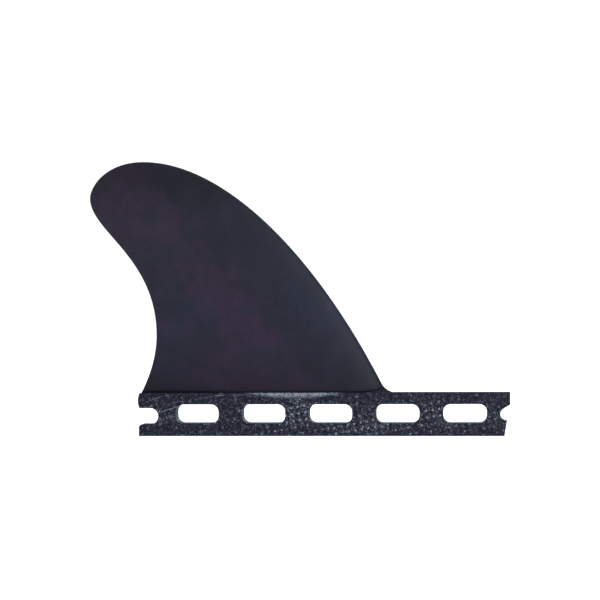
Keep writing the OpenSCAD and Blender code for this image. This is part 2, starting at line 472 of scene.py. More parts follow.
@dataclass
class Blade:
    """The raked, foiled blade. Sizes are in millimetres and heights start at the tab's top."""

    tab: Tab
    trailing_root_setback: float = 0.6
    root_chord: float = 75.7
    height: float = 71.3
    leading_angle: float = 116.6
    leading_reach: float = 51.3
    tip_front_reach: float = 23.3
    tip_top_offset: float = 0.7
    tip_rear_reach: float = 11.7
    tip_overhang: float = 15.8
    tip_drop: float = 11.1
    tip_upper_reach: float = 3.5
    tip_lower_reach: float = 10.3
    hollow_depth: float = 4.8
    hollow_height: float = 17.8
    hollow_upper_reach: float = 24.1
    hollow_lower_reach: float = 8.0
    trailing_angle: float = 62.0
    trailing_reach: float = 3.0
    leading_fillet_radius: float = 5.0
    root_thickness: float = 7.9
    tip_thickness: float = 2.2
    thickest_at: float = 0.37
    trailing_thickness: float = 0.8
    belly_run_out: float = 1.7
    foot_draw_in: float = 0.5
    foot_rings: tuple[float, ...] = (-1.5, -1.0, -0.5)
    closing_power: float = 16.0
    crease: Crease = Crease()
    side_steps: int = 64
    fillet_rings: int = 56
    blade_rings: int = 84
    tip_rings: int = 42
    spans: dict[str, Curve] = field(init=False)

    def __post_init__(self) -> None:
        """Works out the outline's four spans from the sizes."""
        root_x = self.tab.rear_end + self.trailing_root_setback
        tip_top = Vector((root_x + self.tip_top_offset, self.height))
        tip_rear = Vector((root_x - self.tip_overhang, self.height - self.tip_drop))
        hollow = Vector((root_x + self.hollow_depth, self.hollow_height))
        up_leading = self.leading_reach * heading(self.leading_angle)
        up_heel = self.trailing_reach * heading(self.trailing_angle)
        up_rake = Vector((0, self.hollow_upper_reach))
        up_tip = Vector((0, self.tip_upper_reach))
        ahead_of_top = Vector((self.tip_front_reach, 0))
        behind_top = Vector((-self.tip_rear_reach, 0))
        below_tip = Vector((0, -self.tip_lower_reach))
        below_hollow = Vector((0, -self.hollow_lower_reach))
        self.spans = {
            "leading": Curve(Vector((root_x + self.root_chord, 0)), up_leading, ahead_of_top, tip_top),
            "tip": Curve(tip_rear, up_tip, behind_top, tip_top),
            "rake": Curve(hollow, up_rake, below_tip, tip_rear),
            "heel": Curve(Vector((root_x, 0)), up_heel, below_hollow, hollow),
        }

    @property
    def fillet_setback(self) -> float:
        """Distance from the leading root to where the fillet meets the tab's top."""
        return self.leading_fillet_radius / math.tan(math.radians(self.leading_angle / 2))

    @property
    def fillet_top(self) -> float:
        """Height at which the fillet meets the leading edge."""
        return self.fillet_setback * math.sin(math.radians(self.leading_angle))

    def leading_x(self, v: float) -> float:
        """Leading edge at height v, which draws in below the tab's top."""
        root_x = self.spans["leading"].start.x
        if v < 0:
            return root_x + self.fillet_setback + v
        edge = self.spans["leading"].x_at(v)
        if v >= self.fillet_top:
            return edge
        radius = self.leading_fillet_radius
        return max(edge, root_x + self.fillet_setback - math.sqrt(radius**2 - (radius - v) ** 2))

    def trailing_x(self, v: float) -> float:
        """Trailing edge at height v, which draws in below the tab's top."""
        if v < 0:
            return self.spans["heel"].start.x - self.foot_draw_in * v
        for name in ("heel", "rake"):
            if v < self.spans[name].end.y:
                return self.spans[name].x_at(v)
        return self.spans["tip"].x_at(v)

    def foil(self, c: float) -> float:
        """Shape of the foil, 0 at both edges and 1 at its thickest, for a part c of the chord."""
        m = self.thickest_at
        tail_power = 0.5 * (1 - m) / m
        return math.sqrt(c / m) * ((1 - c) / (1 - m)) ** tail_power

    def half_thickness(self, v: float, c: float, chord: float) -> float:
        """Half the blade's thickness.

        Args:
            v: Height above the tab's top.
            c: Part of the chord behind the leading edge.
            chord: Chord at that height.

        Returns:
            The distance from the middle plane, with the trailing edge rounded off.
        """
        share = max(0.0, v) / self.height
        full = self.root_thickness * (1 - share) + self.tip_thickness * share
        thickness = full * self.foil(c) + self.trailing_thickness * c * c
        thickness *= math.sqrt(max(0.0, 1 - share**self.closing_power))
        if v < 0:
            loss = max(0.0, 1 - self.tab.thickness / self.root_thickness)
            thickness *= 1 + loss * v / self.belly_run_out
        edge_radius = self.trailing_thickness / 2
        depth = (1 - c) * chord
        if depth < edge_radius:
            thickness *= math.sqrt(max(0.0, 1 - (1 - depth / edge_radius) ** 2))
        return thickness / 2

    def section(self, v: float) -> list[Vector]:
        """Points round the blade at height v, in metres, from the trailing edge forwards and back."""
        front = self.leading_x(v)
        chord = front - self.trailing_x(v)
        z = self.tab.height + v
        points = []
        for j in range(-self.side_steps, self.side_steps):
            c = (1 - math.cos(math.pi * j / self.side_steps)) / 2
            side = Side.BACK if j < 0 else Side.FRONT
            x = front - c * chord
            half = self.half_thickness(v, c, chord)
            half -= min(self.crease.sink(x, v), half / 2)
            points.append(Vector((x, side.value * half, z)) * MM)
        return points

    def heights(self) -> list[float]:
        """Heights of the sections, closer together in the fillet and towards the top of the tip."""
        widest = self.height - self.tip_drop
        low = [part * self.belly_run_out for part in self.foot_rings]
        fillet = [self.fillet_top * k / self.fillet_rings for k in range(self.fillet_rings)]
        rise = (widest - self.fillet_top) / self.blade_rings
        middle = [self.fillet_top + rise * k for k in range(self.blade_rings)]
        quarter = math.pi / 2 / self.tip_rings
        upper = [widest + self.tip_drop * math.sin(quarter * k) for k in range(self.tip_rings)]
        return low + fillet + middle + upper

    def build(self) -> Piece:
        """Draws the blade up, section by section, out of a disc that ends up inside the tab."""
        deselect_all()
        radius = self.root_chord / 2 * MM
        bpy.ops.mesh.primitive_circle_add(vertices=2 * self.side_steps, radius=radius, fill_type="NGON")
        blade = added("blade")
        bpy.ops.object.mode_set(mode="EDIT")
        bpy.ops.mesh.select_mode(type="FACE")
        bpy.ops.mesh.select_all(action="SELECT")
        self.number_ring(blade)
        levels = self.heights()
        self.shape_ring(blade, levels[0])
        for below, above in zip(levels, levels[1:]):
            rise = (above - below) * MM
            bpy.ops.mesh.extrude_region_move(TRANSFORM_OT_translate={"value": (0, 0, rise)})
            self.shape_ring(blade, above)
        top = self.spans["leading"].end
        bpy.ops.mesh.extrude_region_move()
        bpy.ops.mesh.merge(type="CENTER")
        self.place_top(blade, Vector((top.x, 0, self.tab.height + top.y)) * MM)
        bpy.ops.mesh.select_all(action="SELECT")
        bpy.ops.mesh.normals_make_consistent(inside=False)
        close_mesh()
        return blade

    def number_ring(self, blade: Piece) -> None:
        """Numbers the first disc's rim in order, which every ring drawn out of it then keeps."""
        mesh = bmesh.from_edit_mesh(blade.data)
        place = mesh.verts.layers.int.new(RING_PLACE)
        mesh.faces.ensure_lookup_table()
        for number, vertex in enumerate(mesh.faces[0].verts):
            vertex[place] = number
        bmesh.update_edit_mesh(blade.data)

    def shape_ring(self, blade: Piece, v: float) -> None:
        """Draws the selected cap's rim onto the section at height v."""
        mesh = bmesh.from_edit_mesh(blade.data)
        place = mesh.verts.layers.int[RING_PLACE]
        points = self.section(v)
        for vertex in mesh.verts:
            if vertex.select:
                vertex.co = points[vertex[place]]
        bmesh.update_edit_mesh(blade.data)

    def place_top(self, blade: Piece, point: Vector) -> None:
        """Puts the topmost vertex, in which the last ring was drawn together, at a point."""
        mesh = bmesh.from_edit_mesh(blade.data)
        top = max(mesh.verts, key=lambda vertex: vertex.co.z)
        top.co = point
        bmesh.update_edit_mesh(blade.data)


def heading(angle: float) -> Vector:
    """Unit vector in the side view at an angle in degrees from straight ahead."""
    return Vector((math.cos(math.radians(angle)), math.sin(math.radians(angle))))


# Node trees


class Step(NamedTuple):
    """A smooth step: where it starts and ends, and its result below and above it."""

    low: float
    high: float
    start: float = 0.0
    end: float = 1.0

    def moved(self, by: float) -> "Step":
        """The same step, further along by an amount."""
        return self._replace(low=self.low + by, high=self.high + by)


class Noise(NamedTuple):
    """A noise: about how large its lumps are in millimetres, its detail and its roughness."""

    size: float
    detail: float = 2.0
    roughness: float = 0.5


def arithmetic(operation: str) -> Callable[..., "Signal"]:
    """Makes the method of a signal that adds one kind of Math node."""

    def method(self: "Signal", other: Value = 0.0, clamp: bool = False) -> "Signal":
        """Adds the node on this signal and another value."""
        return self.sheet.signal("Math", {0: self, 1: other}, operation=operation, use_clamp=clamp)

    return method


class Signal:
    """One output in a node tree. Arithmetic on it adds the nodes that work it out."""

    __add__ = arithmetic("ADD")
    __sub__ = arithmetic("SUBTRACT")
    __mul__ = arithmetic("MULTIPLY")
    __truediv__ = arithmetic("DIVIDE")
    __pow__ = arithmetic("POWER")
    __abs__ = arithmetic("ABSOLUTE")
    cosine = arithmetic("COSINE")
    above = arithmetic("GREATER_THAN")
    most = arithmetic("MAXIMUM")

    def __init__(self, sheet: "NodeSheet", socket: bpy.types.NodeSocket) -> None:
        """Keeps the output and the sheet that it stands on."""
        self.sheet = sheet
        self.socket = socket

    def __rsub__(self, number: float) -> "Signal":
        """The difference from a number."""
        return self.sheet.signal("Math", {0: number, 1: self}, operation="SUBTRACT")

    def ramp(self, low: Value, high: Value, start: Value = 0.0, end: Value = 1.0) -> "Signal":
        """Adds a smooth step, whose numbers are a Step's."""
        feeds = {"Value": self, "From Min": low, "From Max": high, "To Min": start, "To Max": end}
        return self.sheet.signal("MapRange", feeds, interpolation_type="SMOOTHSTEP")

    def mix(self, first: Value, second: Value) -> "Signal":
        """Mixes two numbers, with this value as the second one's share."""
        return self.sheet.signal("Mix", {0: self, 2: first, 3: second}, data_type="FLOAT")

    def blend(self, first: "Signal | Colour", second: "Signal | Colour") -> "Signal":
        """Mixes two colours, with this value as the second one's share."""
        return self.sheet.signal("Mix", {0: self, 6: first, 7: second}, 2, data_type="RGBA")

    def vector(self, operation: str, *others: "Signal | Triple", output: int | str = 0) -> "Signal":
        """Adds a VectorMath node on this place or colour and others."""
        feeds = dict(enumerate((self, *others)))
        return self.sheet.signal("VectorMath", feeds, output, operation=operation)

    def scaled(self, factor: Value) -> "Signal":
        """Multiplies this place or colour by a number."""
        return self.sheet.signal("VectorMath", {0: self, "Scale": factor}, operation="SCALE")

    def split(self) -> list["Signal"]:
        """Splits this place into x, y and z."""
        node = self.sheet.add("SeparateXYZ", {0: self})
        return [Signal(self.sheet, output) for output in node.outputs]

    def mapped(self, kind: str, turn: float, middle: Triple = (0, 0, 0)) -> "Signal":
        """Adds a Mapping node of a kind that turns this place about Y, by an angle in radians."""
        feeds = {"Vector": self, "Location": middle, "Rotation": (0, turn, 0)}
        return self.sheet.signal("Mapping", feeds, vector_type=kind)

    def noise(self, size: float, detail: float, roughness: float) -> "Signal":
        """Adds a noise at this place, whose numbers are a Noise's."""
        feeds = {"Vector": self, "Scale": 1 / size, "Detail": detail, "Roughness": roughness}
        return self.sheet.signal("TexNoise", feeds)

    def jitter(self, size: float, reach: float) -> "Signal":
        """Moves this place about by a noise of a size, up to about the reach each way."""
        shift = self.sheet.signal("TexNoise", {"Vector": self, "Scale": 1 / size}, 1)
        centred = shift.vector("SUBTRACT", (0.5, 0.5, 0.5))
        return centred.vector("MULTIPLY_ADD", (reach, reach, reach), self)

    def cells(self, size: float, spread: float) -> tuple["Signal", "Signal"]:
        """Adds cells at this place.

        Args:
            size: Size of a cell, in millimetres.
            spread: How much their middles are shaken out of their rows, 0 to 1.

        Returns:
            The distance from the nearest middle, in cell sizes, and that cell's lot, 0 to 1.
        """
        feeds = {"Vector": self, "Scale": 1 / size, "Randomness": spread}
        node = self.sheet.add("TexVoronoi", feeds, feature="F1")
        lot = self.sheet.signal("SeparateColor", {0: Signal(self.sheet, node.outputs["Color"])})
        return Signal(self.sheet, node.outputs["Distance"]), lot


class NodeSheet:
    """The node tree of one material or world, emptied first, with a short way to add nodes."""

    def __init__(self, tree: bpy.types.NodeTree) -> None:
        """Takes the tree and empties it."""
        self.tree = tree
        self.tree.nodes.clear()

    def add(self, kind: str, feeds: dict[int | str, object], **settings: object) -> bpy.types.Node:
        """Adds a node.

        Args:
            kind: The node's type, without the leading ShaderNode.
            feeds: What goes into its inputs: a signal is joined, and a constant is written.
            settings: Attributes to set on it.

        Returns:
            The new node.
        """
        node = self.tree.nodes.new("ShaderNode" + kind)
        for name, value in settings.items():
            setattr(node, name, value)
        for slot, value in feeds.items():
            if isinstance(value, Signal):
                self.tree.links.new(value.socket, node.inputs[slot])
            else:
                node.inputs[slot].default_value = value
        return node

    def signal(
        self, kind: str, feeds: dict[int | str, object], output: int | str = 0, **settings: object
    ) -> Signal:
        """Adds a node, as add does, and returns one of its outputs."""
        return Signal(self, self.add(kind, feeds, **settings).outputs[output])

    def cover(self, looks: dict[int | str, object]) -> None:
        """Adds a material's shader, with these looks, and its output."""
        self.add("OutputMaterial", {"Surface": self.signal("BsdfPrincipled", looks)})


@dataclass(frozen=True)
class Point:
    """A point of the surface as signals, in millimetres."""

    place: Signal
    x: Signal
    y: Signal
    z: Signal


# Finishes


@dataclass(frozen=True)
class Scratch:
    """One light scratch on a face of the tab, in millimetres."""

    start: tuple[float, float]
    end: tuple[float, float]
    width: float
    strength: float
    side: Side = Side.FRONT


@dataclass(frozen=True)
class GlintPool:
    """One patch of a face of the tab where painted light pools on the grain's painted glints, in
    millimetres.
    """

    x: float
    z: float
    reach_x: float
    reach_z: float
    strength: float
    side: Side = Side.FRONT


@dataclass(frozen=True)
class BladeSkin:
    """Satin skin of the blade, in millimetres.

    A cooler black lies behind the leading edge and at the tail, and a warmer one runs between them from the
    tip down to the root. Shade and tint are clouded at random, and painted light and shade lie over them: a
    painted highlight along the leading edge, a lighter middle, and painted shade at the tail, the root, the
    tip and towards the crease.
    """

    cool: Colour = (0.0136, 0.0160, 0.0292, 1)
    warm: Colour = (0.0270, 0.0150, 0.0350, 1)
    tint_noise: Noise = Noise(4.6)
    mottle_noise: Noise = Noise(1.9, 3.0, 0.6)
    mottle_share: float = 0.45
    tint_range: Step = Step(0.36, 1.02)
    edge_slope: float = 38.5
    cool_edge: Step = Step(7.0, 19.0, -0.30, 0.03)
    cool_tail: Step = Step(24.0, 33.0, 0.0, -0.20)
    tail_setback: Step = Step(22.0, 34.0, 13.0, 0.0)
    tail_top: Step = Step(50.0, 60.0, 1.0, 0.0)
    tip_hue: Colour = (0.98, 1.00, 0.90, 1)
    tip_hue_rise: Step = Step(34.0, 62.0)
    cloud_noise: Noise = Noise(7.5, 3.0, 0.6)
    cloud_start: Triple = (40.0, 0.0, 25.0)
    cloud_spread: float = 0.72
    speckle_noise: Noise = Noise(0.50, 3.0, 0.6)
    speckle: Step = Step(0.32, 0.68, 0.90, 1.10)
    # Painted light and shade on the skin's colour: a highlight along the leading edge that dims higher up,
    # a dip behind it, a lighter middle, and painted shade at the tail, the root, the tip and the crease.
    edge_reach: tuple[float, float] = (-4.0, 14.0)
    edge_light: Step = Step(46.0, 68.0, 1.04, 0.86)
    dip_shade: float = 0.88
    middle_light: Step = Step(13.0, 20.0, 1.0, 1.16)
    tail_shade: Step = Step(23.0, 31.0, 1.0, 0.96)
    root_shade: Step = Step(0.0, 36.0, 0.34, 1.0)
    tip_shade: Step = Step(64.0, 84.0, 1.0, 0.62)
    crease_shade: Step = Step(0.0, 1.6, 0.45, 1.0)
    roughness: float = 0.43
    roughness_noise: Noise = Noise(2.4, 4.0)
    roughness_spread: float = 0.10
    pore_noise: Noise = Noise(0.30)
    pore_depth: float = 0.004

    def behind_edge(self, point: Point, root: Vector) -> Signal:
        """Distance behind a straight line up the leading edge from its root, which is (x, height)."""
        slope = math.radians(self.edge_slope)
        return (root.x - point.x) * math.cos(slope) + (root.y - point.z) * math.sin(slope)

    def colour(self, point: Point, behind: Signal, rise: Signal) -> Signal:
        """Mixes the skin's colour.

        Args:
            point: The point.
            behind: Distance behind the leading edge.
            rise: Height above the crease.

        Returns:
            Patches of a cooler and a warmer black, cool at the leading edge, with painted light and shade:
            a painted highlight at the leading edge and painted shade at the root.
        """
        place, z = point.place, point.z
        share = place.noise(*self.tint_noise) + place.noise(*self.mottle_noise) * self.mottle_share
        share += behind.ramp(*self.cool_edge)
        tail_shift = (behind - z.ramp(*self.tail_setback)).ramp(*self.cool_tail)
        share += z.ramp(*self.tail_top) * tail_shift
        tint = share.ramp(*self.tint_range).blend(self.cool, self.warm)
        hue = z.ramp(*self.tip_hue_rise).blend(WHITE, self.tip_hue)

        cloud = place.vector("ADD", self.cloud_start).noise(*self.cloud_noise)
        shade = (cloud - 0.5) * self.cloud_spread + 1.0
        # Besides a random speckle, painted light and shade: a highlight along the leading edge, a dip
        # behind it, a lighter middle, and painted shade at the tail, the root, the tip and the crease.
        for step in (
            place.noise(*self.speckle_noise).ramp(*self.speckle),
            behind.ramp(*self.edge_reach, z.ramp(*self.edge_light), self.dip_shade),
            behind.ramp(*self.middle_light),
            behind.ramp(*self.tail_shade),
            z.ramp(*self.root_shade),
            z.ramp(*self.tip_shade),
            rise.ramp(*self.crease_shade),
        ):
            shade *= step
        return tint.vector("MULTIPLY", hue).scaled(shade)

    def rough(self, place: Signal) -> Signal:
        """Roughness, a little uneven as on a moulding after handling."""
        return place.noise(*self.roughness_noise) * self.roughness_spread + self.roughness

    def relief(self, place: Signal) -> Signal:
        """Height of the fine pores, in millimetres."""
        return place.noise(*self.pore_noise) * self.pore_depth


@dataclass(frozen=True)
class TabGrain:
    """Coarse moulded grain of the tab: small round crowns laid out like cloth, many of them painted pale as
    glints, which are painted highlights.

    Sizes are in millimetres. The steps face and belly are places out from the tab's face.
    """

    deep: Colour = (0.0026, 0.0026, 0.0105, 1)
    # Pale colours of the painted glints, the painted light and the scratches.
    pale_glint_and_scratch: Colour = (0.2640, 0.2650, 0.3420, 1)
    pale_teal_glint_and_scratch: Colour = (0.2120, 0.2650, 0.3180, 1)
    belly_highlight: Colour = (0.2000, 0.2240, 0.2600, 1)
    teal_noise: Noise = Noise(1.3)
    teal: Step = Step(0.42, 0.60)
    roughness: float = 0.55
    pale_mark_roughness: float = 0.36
    row_pitch: float = 2.02
    row_turn: float = 10.0
    row_height: float = 0.040
    crown_size: float = 0.673
    crown_spread: float = 0.70
    crown_height: float = 0.075
    jitter_size: float = 0.5
    crown_jitter: float = 0.24
    crown: Step = Step(0.10, 0.62, 1.0, 0.0)
    crown_foot: Step = Step(0.42, 0.75, 1.0, 0.0)
    crown_tone: float = 0.075
    lit_ground_tone: float = 0.13
    face: Step = Step(-0.4, -0.15, 0.25, 1.0)
    # Band of painted light on the glints: brighter in the middle of the tab and low down.
    glint_light_rear: Step = Step(-36.0, -9.0)
    glint_light_front: float = 34.0
    front_share: float = 0.45
    glint_light_foot: Step = Step(0.5, 4.5, 0.2, 1.0)
    glint_light_top: Step = Step(8.0, 12.0, 1.0, 0.0)
    glint_light_strength: float = 0.42
    lot_share: float = 0.62
    row_share: float = 0.42
    glint_light_share: float = 0.20
    cloud_noise: Noise = Noise(9.0)
    cloud: Step = Step(0.35, 0.65, -0.05, 0.06)
    bright: Step = Step(0.34, 1.10)
    bright_power: float = 1.8
    pit_noise: Noise = Noise(0.40, 1.0)
    pit: Step = Step(0.40, 0.52, 0.08, 1.15)
    # Painted shade: the crowns' glints dim towards the tab's top.
    top_glint_shade: Step = Step(8.5, 11.5, 1.0, 0.90)
    dot_radius: float = 0.42
    dot_core: float = 0.99
    dot_noise: Noise = Noise(3.2)
    dot_lots: Step = Step(0.42, 0.68, 0.0, 0.90)
    # Painted shade: the dots fade towards the tab's top.
    dot_top_shade: Step = Step(4.0, 11.0, 1.0, 0.35)
    lit_dots: Step = Step(0.35, 0.75, 0.0, 0.80)
    dust_noise: Noise = Noise(0.22, 2.0, 0.6)
    dust_tone: Step = Step(0.25, 0.75, 0.60, 1.40)
    dust_height: float = 0.015
    # Painted highlight on the belly where it stands out over the faces.
    belly: Step = Step(-0.01, 0.36, 0.0, 1.30)
    belly_power: float = 0.75
    belly_colour: Step = Step(0.05, 0.4)
    belly_highlight_noise: Noise = Noise(0.7, 3.0, 0.65)
    belly_light: Step = Step(0.34, 0.66, 0.26, 1.24)
    belly_light_ground: float = 0.75
    belly_light_on_crowns: float = 0.35
    # Painted light on the slot walls, which are also smoother and less grained.
    slot_wall_light: float = 0.09
    slot_wall_streaks: Step = Step(0.25, 0.75, 0.70, 1.30)
    slot_wall_roughness: float = 0.26
    slot_wall_relief: float = 0.25
    slot_wall_reach: float = 0.5
    slot_wall_fade: float = 0.4
    scratch_core: float = 0.35
    scratch_skin: float = 0.1
    glint_pool_core: float = 0.25
    glint_pool_depth: float = 2.0


@dataclass(frozen=True)
class MouldedPlastic:
    """Black plastic of the whole fin: satin above the crease at the tab's top, grained below it."""

    tab: Tab
    leading_root: Vector
    crease: Crease = Crease()
    skin: BladeSkin = BladeSkin()
    grain: TabGrain = TabGrain()
    border_softness: float = 0.06
    specular_level: float = 0.21
    scratches: tuple[Scratch, ...] = (
        Scratch((-53.9, 10.7), (-49.6, 12.2), 0.16, 0.45),
        Scratch((-50.2, 7.3), (-44.2, 9.2), 0.20, 0.60),
        Scratch((-36.7, 11.6), (-33.4, 12.15), 0.14, 0.35),
        Scratch((-33.4, 12.30), (-30.3, 12.55), 0.20, 0.65),
        Scratch((-28.0, 12.55), (-24.3, 12.60), 0.18, 0.45),
    )
    # Patches where painted light pools on the grain's glints.
    glint_pools: tuple[GlintPool, ...] = (
        GlintPool(-49.0, 6.6, 8.5, 5.0, 0.50),
        GlintPool(-32.5, 6.2, 6.0, 5.5, 0.45),
        GlintPool(-8.0, 6.8, 9.0, 6.5, 1.0),
        GlintPool(12.5, 3.0, 12.0, 3.4, 0.70),
        GlintPool(34.0, 7.8, 7.0, 4.6, 0.80),
        GlintPool(33.0, 11.6, 12.0, 3.0, 0.40),
        GlintPool(54.0, 6.2, 6.0, 4.2, 0.60),
    )

    def crease_rise(self, point: Point) -> Signal:
        """Height above the crease, which climbs over the fillet at the leading edge's root."""
        crease = self.crease
        run = ((point.x - crease.climb_start) / (crease.climb_end - crease.climb_start)).most(0.0)
        return point.z - (run**2.0 * crease.climb + (self.tab.height + self.border_softness))

    def material(self) -> bpy.types.Material:
        """Makes the material.

        Returns:
            The material, whose patterns all follow the object's own place in millimetres.
        """
        material = bpy.data.materials.new("moulded_plastic")
        material.use_nodes = True
        sheet = NodeSheet(material.node_tree)
        place = sheet.signal("TexCoord", {}, "Object").scaled(1 / MM)
        point = Point(place, *place.split())

        rise = self.crease_rise(point)
        on_blade = rise.ramp(-self.border_softness, self.border_softness)
        behind = self.skin.behind_edge(point, self.leading_root)
        grain_colour, grain_roughness, grain_relief = GrainPainter(self, point).look()
        relief = on_blade.mix(grain_relief, self.skin.relief(place))
        looks = {
            "Base Color": on_blade.blend(grain_colour, self.skin.colour(point, behind, rise)),
            "Roughness": on_blade.mix(grain_roughness, self.skin.rough(place)),
            "Normal": sheet.signal("Bump", {"Strength": 1.0, "Distance": MM, "Height": relief}),
            "Specular IOR Level": self.specular_level,
        }
        sheet.cover(looks)
        return material


class GrainPainter:
    """Draws the tab's grain, with its painted glints, painted light and painted highlight, and its
    scratches.
    """

    def __init__(self, plastic: MouldedPlastic, point: Point) -> None:
        """Lays the plastic's crowns out like cloth at a point and finds where painted light falls on them.
        """
        grain = plastic.grain
        self.plastic = plastic
        self.tab = plastic.tab
        self.grain = grain
        self.place = point.place
        self.z = point.z
        shaken = self.place.jitter(grain.jitter_size, grain.crown_jitter)
        turned = shaken.mapped("POINT", math.radians(grain.row_turn))
        along, _, up = turned.split()
        wave = 2 * math.pi / grain.row_pitch
        self.rows = ((along * wave).cosine() + (up * wave).cosine()) * 0.25 + 0.5
        self.distance, self.lot = turned.cells(grain.crown_size, grain.crown_spread)
        self.off_middle = abs(point.y)
        self.on_face = self.off_middle.ramp(*grain.face.moved(self.tab.half))
        self.crown = self.distance.ramp(*grain.crown) * self.on_face
        self.dust = self.place.noise(*grain.dust_noise)
        # Painted light on the glints, brightest in the middle of the tab.
        front = point.x.ramp(grain.glint_light_front, self.tab.front_end, 1.0, grain.front_share)
        self.glint_light_band = point.x.ramp(*grain.glint_light_rear) * front
        self.glint_light = self.find_glint_light()
        self.in_slots = self.slot_walls()

    def find_glint_light(self) -> Signal:
        """Painted light on the grain's glints: a little along the tab's middle, and more in the patches
        where it pools.
        """
        grain = self.grain
        level = self.z.ramp(*grain.glint_light_foot) * self.z.ramp(*grain.glint_light_top)
        glint_light = self.glint_light_band * level * grain.glint_light_strength
        for pool in self.plastic.glint_pools:
            glint_light = glint_light.most(self.glint_pool_mask(pool))
        return glint_light

    def glint_pool_mask(self, pool: GlintPool) -> Signal:
        """Strength of one patch of painted light, fading out from its middle and held to its own face."""
        off = self.place.vector("SUBTRACT", (pool.x, pool.side.value * self.tab.half, pool.z))
        shares = off.vector("DIVIDE", (pool.reach_x, self.grain.glint_pool_depth, pool.reach_z))
        return shares.vector("LENGTH", output="Value").ramp(self.grain.glint_pool_core, 1.0, pool.strength, 0.0)

    def scratch_mask(self, scratch: Scratch) -> Signal:
        """Strength of one scratch, fading out at its sides and ends, and 0 elsewhere."""
        start = Vector(scratch.start)
        run = Vector(scratch.end) - start
        middle = start + run / 2
        turn = -math.atan2(run.y, run.x)
        along, across, off = self.place.mapped("TEXTURE", turn, (middle.x, 0, middle.y)).split()
        line = abs(off).ramp(0.0, scratch.width, 1.0, 0.0)
        reach = abs(along).ramp(run.length * self.grain.scratch_core, run.length / 2, 1.0, 0.0)
        face = across * scratch.side.value
        on_face = face.above(self.tab.half - self.grain.scratch_skin)
        return line * reach * on_face * scratch.strength

    def slot_walls(self) -> Signal:
        """1 on the walls inside the slots and the end gaps, and 0 on the faces, the top and the bottom."""
        tab = self.tab
        fade = self.grain.slot_wall_fade
        far = tab.slot_height / 2 + self.grain.slot_wall_reach
        within = abs(self.z - tab.slot_level).ramp(far - fade, far, 1.0, 0.0)
        return within * self.off_middle.ramp(tab.half - fade, tab.half - tab.rim_radius / 2, 1.0, 0.0)

    def crown_tone(self) -> Signal:
        """Paleness of the crowns as painted glints, by their lots, their rows and the painted light on
        them, with dark pits in them.
        """
        grain = self.grain
        chance = self.lot * grain.lot_share + self.rows * grain.row_share + self.glint_light * grain.glint_light_share
        chance += self.place.noise(*grain.cloud_noise).ramp(*grain.cloud)
        bright = chance.ramp(*grain.bright) ** grain.bright_power
        ground = self.glint_light * grain.lit_ground_tone + grain.crown_tone
        gaps = self.distance.ramp(*grain.crown_foot) * self.on_face
        tone = bright * (1.0 - ground) * self.crown + ground * gaps
        tone *= self.place.noise(*grain.pit_noise).ramp(*grain.pit)
        # Painted shade: the glints dim towards the tab's top.
        return tone * self.z.ramp(*grain.top_glint_shade)

    def dot_tone(self) -> Signal:
        """Paleness of the dots where two rows cross, as painted glints, here and there and where painted
        light falls on the grain.
        """
        grain = self.grain
        edge = 1 - (math.pi * grain.dot_radius / grain.row_pitch) ** 2 / 2
        lots = self.place.noise(*grain.dot_noise).ramp(*grain.dot_lots)
        # Painted light and shade: the dots follow the band of painted light and fade towards the tab's top.
        lots *= self.glint_light_band * self.z.ramp(*grain.dot_top_shade)
        lots = lots.most(self.glint_light.ramp(*grain.lit_dots))
        return self.rows.ramp(edge, grain.dot_core) * self.on_face * lots

    def marks(self, belly: Signal) -> Signal:
        """Share of pale plastic: painted glints, painted highlight, painted light and scratches.

        Args:
            belly: Strength of the painted highlight on the belly that stands out over the faces.

        Returns:
            The share, with painted glints on crowns and dots, dust, the painted highlight on the belly,
            painted light on the slot walls, and scratches in it.
        """
        grain = self.grain
        tone = self.crown_tone().most(self.dot_tone()) * self.dust.ramp(*grain.dust_tone)
        # Painted highlight on the belly, uneven by a noise.
        belly_light = self.place.noise(*grain.belly_highlight_noise).ramp(*grain.belly_light)
        belly_light *= self.crown * grain.belly_light_on_crowns + grain.belly_light_ground
        marks = tone.most(belly * belly_light, clamp=True)
        streaks = self.dust.ramp(*grain.slot_wall_streaks)
        # Painted light on the slot walls.
        marks = marks.most(self.in_slots * grain.slot_wall_light * streaks)
        for scratch in self.plastic.scratches:
            marks = marks.most(self.scratch_mask(scratch))
        return marks

    def look(self) -> tuple[Signal, Signal, Signal]:
        """Draws the grain.

        Returns:
            Its colour, its roughness and its height in millimetres.
        """
        grain = self.grain
        belly = self.off_middle.ramp(*grain.belly.moved(self.tab.half)) ** grain.belly_power
        marks = self.marks(belly)
        teal = self.place.noise(*grain.teal_noise).ramp(*grain.teal).most(self.in_slots)
        pale_colour = teal.blend(grain.pale_glint_and_scratch, grain.pale_teal_glint_and_scratch)
        pale_colour = belly.ramp(*grain.belly_colour).blend(pale_colour, grain.belly_highlight)
        roughness = marks.mix(grain.roughness, grain.pale_mark_roughness)
        roughness = self.in_slots.mix(roughness, grain.slot_wall_roughness)
        relief = self.crown * grain.crown_height + self.rows * grain.row_height
        relief += self.dust * grain.dust_height
        relief *= self.in_slots.mix(1.0, grain.slot_wall_relief)
        return marks.blend(grain.deep, pale_colour), roughness, relief


# The fin


